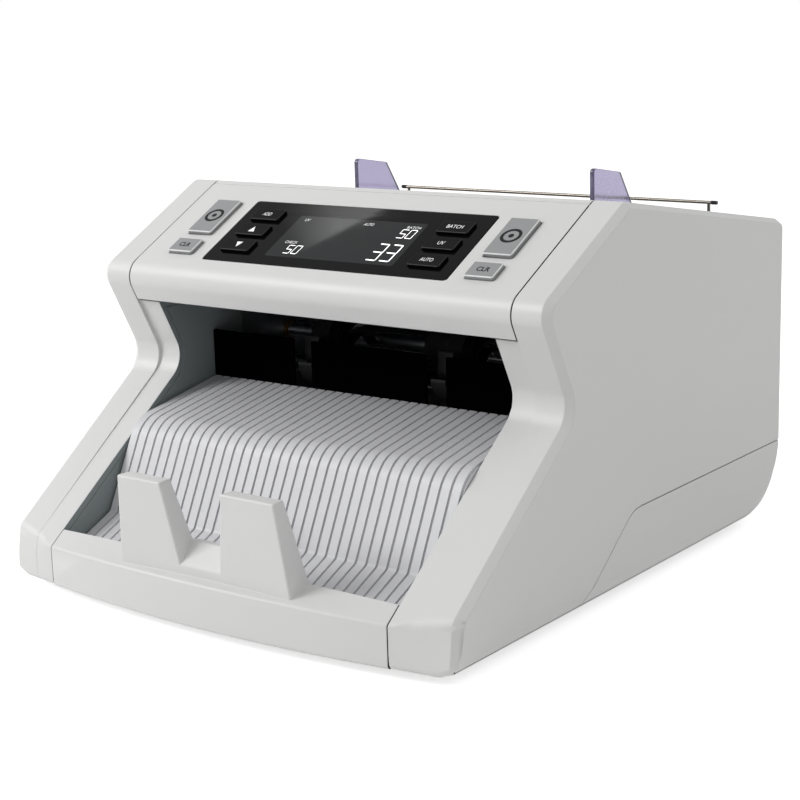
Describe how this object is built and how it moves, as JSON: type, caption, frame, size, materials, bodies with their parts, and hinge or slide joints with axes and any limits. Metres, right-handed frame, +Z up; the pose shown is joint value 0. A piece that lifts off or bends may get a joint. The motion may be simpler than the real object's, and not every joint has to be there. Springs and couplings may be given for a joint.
{
  "type": "banknote counter",
  "caption": "Friction-feed banknote counter with a rear note hopper, sloping control panel, black display lens and an open ribbed stacker pocket at the front.",
  "frame": {"origin": "middle of the footprint, on the surface the rubber feet stand on", "axes": "+Z up, -Y towards the front (pocket and control panel), +X to the right seen from the front"},
  "size_m": [0.246, 0.285, 0.1756],
  "materials": {
    "cover": "fine satin texture",
    "plate": "satin",
    "dark_plastic": "satin",
    "black_plastic": "satin",
    "lens": "polished",
    "lcd": "polished",
    "key": "satin",
    "button": "satin",
    "guide": "translucent",
    "steel": "zinc plated",
    "wire": "satin",
    "roller": "ground",
    "bronze": "sintered",
    "belt": "smooth",
    "foot": "matt",
    "gear": "natural",
    "board": "solder mask"
  },
  "bodies": {
    "case": {"base_pan": "cover", "left_side_cover": "cover", "right_side_cover": "cover", "control_panel_cover": "cover", "top_cover": "cover", "rear_cover": "cover", "front_tray": "cover", "pocket_plate": "plate", "left_pocket_wall": "dark_plastic", "right_pocket_wall": "dark_plastic", "pocket_ceiling": "black_plastic", "stacker_screen": "black_plastic", "display_lens": "lens", "lcd_module": "lcd", "display_board": "board", "hopper_body": "cover", "hopper_front_wall": "dark_plastic", "guide_bridge": "steel", "left_frame": "steel", "right_frame": "steel", "tie_bars": "steel", "shaft_bushings": "bronze", "retard_rollers": "roller", "path_plates": "steel", "note_sensor_head": "black_plastic", "main_motor": "steel", "stacker_motor": "steel", "drive_belts": "belt", "main_board": "board", "power_supply": "board", "power_inlet": "black_plastic", "display_socket": "black_plastic", "case_screws": "steel", "front_feet": "foot", "rear_feet": "foot"},
    "feed": {"feed_shaft": "roller"},
    "pickup": {"pickup_shaft": "roller"},
    "main_drive": {"main_motor_pulley": "steel"},
    "transport": {"transport_shaft": "roller"},
    "pinch": {"pinch_shaft": "roller"},
    "stacker": {"stacker_shaft": "steel", "left_stacker_wheel": "black_plastic", "right_stacker_wheel": "black_plastic"},
    "stacker_drive": {"stacker_motor_pulley": "steel"},
    "right_guide": {"right_note_guide": "guide"},
    "left_guide": {"left_note_guide": "guide"},
    "pinion": {"guide_pinion": "gear"},
    "note_rest": {"note_rest": "wire"},
    "rocker": {"power_rocker": "black_plastic"},
    "key_add": {"key_add": "key"},
    "key_up": {"key_up": "key"},
    "key_down": {"key_down": "key"},
    "key_batch": {"key_batch": "key"},
    "key_uv": {"key_uv": "key"},
    "key_auto": {"key_auto": "key"},
    "left_start_button": {"left_start_button": "button"},
    "right_start_button": {"right_start_button": "button"},
    "left_clear_button": {"left_clear_button": "button"},
    "right_clear_button": {"right_clear_button": "button"}
  },
  "joints": [
    {"name": "feed_spin", "type": "hinge", "parent": "case", "child": "feed", "pos_m": [0, 0.08926, 0.08868], "axis": [1, 0, 0], "continuous": true},
    {"name": "pickup_spin", "type": "hinge", "parent": "case", "child": "pickup", "pos_m": [0, 0.10995, 0.11508], "axis": [1, 0, 0], "continuous": true},
    {"name": "main_motor_spin", "type": "hinge", "parent": "case", "child": "main_drive", "pos_m": [0, 0.09252, 0.044], "axis": [1, 0, 0], "continuous": true},
    {"name": "transport_spin", "type": "hinge", "parent": "case", "child": "transport", "pos_m": [0, 0.03653, 0.0744], "axis": [1, 0, 0], "continuous": true},
    {"name": "pinch_spin", "type": "hinge", "parent": "case", "child": "pinch", "pos_m": [0, 0.03653, 0.0907], "axis": [1, 0, 0], "continuous": true},
    {"name": "stacker_spin", "type": "hinge", "parent": "case", "child": "stacker", "pos_m": [0, 0.00302, 0.083], "axis": [1, 0, 0], "continuous": true},
    {"name": "stacker_motor_spin", "type": "hinge", "parent": "case", "child": "stacker_drive", "pos_m": [0, 0.02453, 0.034], "axis": [1, 0, 0], "continuous": true},
    {"name": "right_guide_slide", "type": "slide", "parent": "case", "child": "right_guide", "axis": [1, 0, 0], "range_m": [-0.016, 0.02]},
    {"name": "left_guide_slide", "type": "slide", "parent": "case", "child": "left_guide", "axis": [-1, 0, 0], "range_m": [-0.0161, 0.0201]},
    {"name": "pinion_spin", "type": "hinge", "parent": "case", "child": "pinion", "pos_m": [0, 0.04507, 0.13599], "axis": [0, 0, -1], "range_deg": [-180, 220]},
    {"name": "note_rest_lift", "type": "slide", "parent": "case", "child": "note_rest", "axis": [0, 0, 1], "range_m": [0, 0.025]},
    {"name": "power_rocker_tilt", "type": "hinge", "parent": "case", "child": "rocker", "pos_m": [-0.038, 0.13692, 0.066], "axis": [1, 0, 0], "range_deg": [-12.4, 0]},
    {"name": "key_add_press", "type": "slide", "parent": "case", "child": "key_add", "axis": [0, 0.4702, -0.8826], "range_m": [0, 0.0012], "stiffness_N_per_m": 400, "springref_m": -0.001},
    {"name": "key_up_press", "type": "slide", "parent": "case", "child": "key_up", "axis": [0, 0.4702, -0.8826], "range_m": [0, 0.0012], "stiffness_N_per_m": 400, "springref_m": -0.001},
    {"name": "key_down_press", "type": "slide", "parent": "case", "child": "key_down", "axis": [0, 0.4702, -0.8826], "range_m": [0, 0.0012], "stiffness_N_per_m": 400, "springref_m": -0.001},
    {"name": "key_batch_press", "type": "slide", "parent": "case", "child": "key_batch", "axis": [0, 0.4702, -0.8826], "range_m": [0, 0.0012], "stiffness_N_per_m": 400, "springref_m": -0.001},
    {"name": "key_uv_press", "type": "slide", "parent": "case", "child": "key_uv", "axis": [0, 0.4702, -0.8826], "range_m": [0, 0.0012], "stiffness_N_per_m": 400, "springref_m": -0.001},
    {"name": "key_auto_press", "type": "slide", "parent": "case", "child": "key_auto", "axis": [0, 0.4702, -0.8826], "range_m": [0, 0.0012], "stiffness_N_per_m": 400, "springref_m": -0.001},
    {"name": "left_start_button_press", "type": "slide", "parent": "case", "child": "left_start_button", "axis": [0, 0.4702, -0.8826], "range_m": [0, 0.0012], "stiffness_N_per_m": 400, "springref_m": -0.001},
    {"name": "right_start_button_press", "type": "slide", "parent": "case", "child": "right_start_button", "axis": [0, 0.4702, -0.8826], "range_m": [0, 0.0012], "stiffness_N_per_m": 400, "springref_m": -0.001},
    {"name": "left_clear_button_press", "type": "slide", "parent": "case", "child": "left_clear_button", "axis": [0, 0.4702, -0.8826], "range_m": [0, 0.0012], "stiffness_N_per_m": 400, "springref_m": -0.001},
    {"name": "right_clear_button_press", "type": "slide", "parent": "case", "child": "right_clear_button", "axis": [0, 0.4702, -0.8826], "range_m": [0, 0.0012], "stiffness_N_per_m": 400, "springref_m": -0.001}
  ],
  "couplings": [
    {"joint": "pickup_spin", "follows": "feed_spin", "ratio": 1.1429},
    {"joint": "main_motor_spin", "follows": "feed_spin", "ratio": 2},
    {"joint": "pinch_spin", "follows": "transport_spin", "ratio": -1.2857},
    {"joint": "stacker_spin", "follows": "transport_spin", "ratio": 0.33333},
    {"joint": "stacker_motor_spin", "follows": "transport_spin", "ratio": 1.6667},
    {"joint": "left_guide_slide", "follows": "right_guide_slide", "ratio": 1},
    {"joint": "pinion_spin", "follows": "right_guide_slide", "rad_per_m": 166.67}
  ]
}
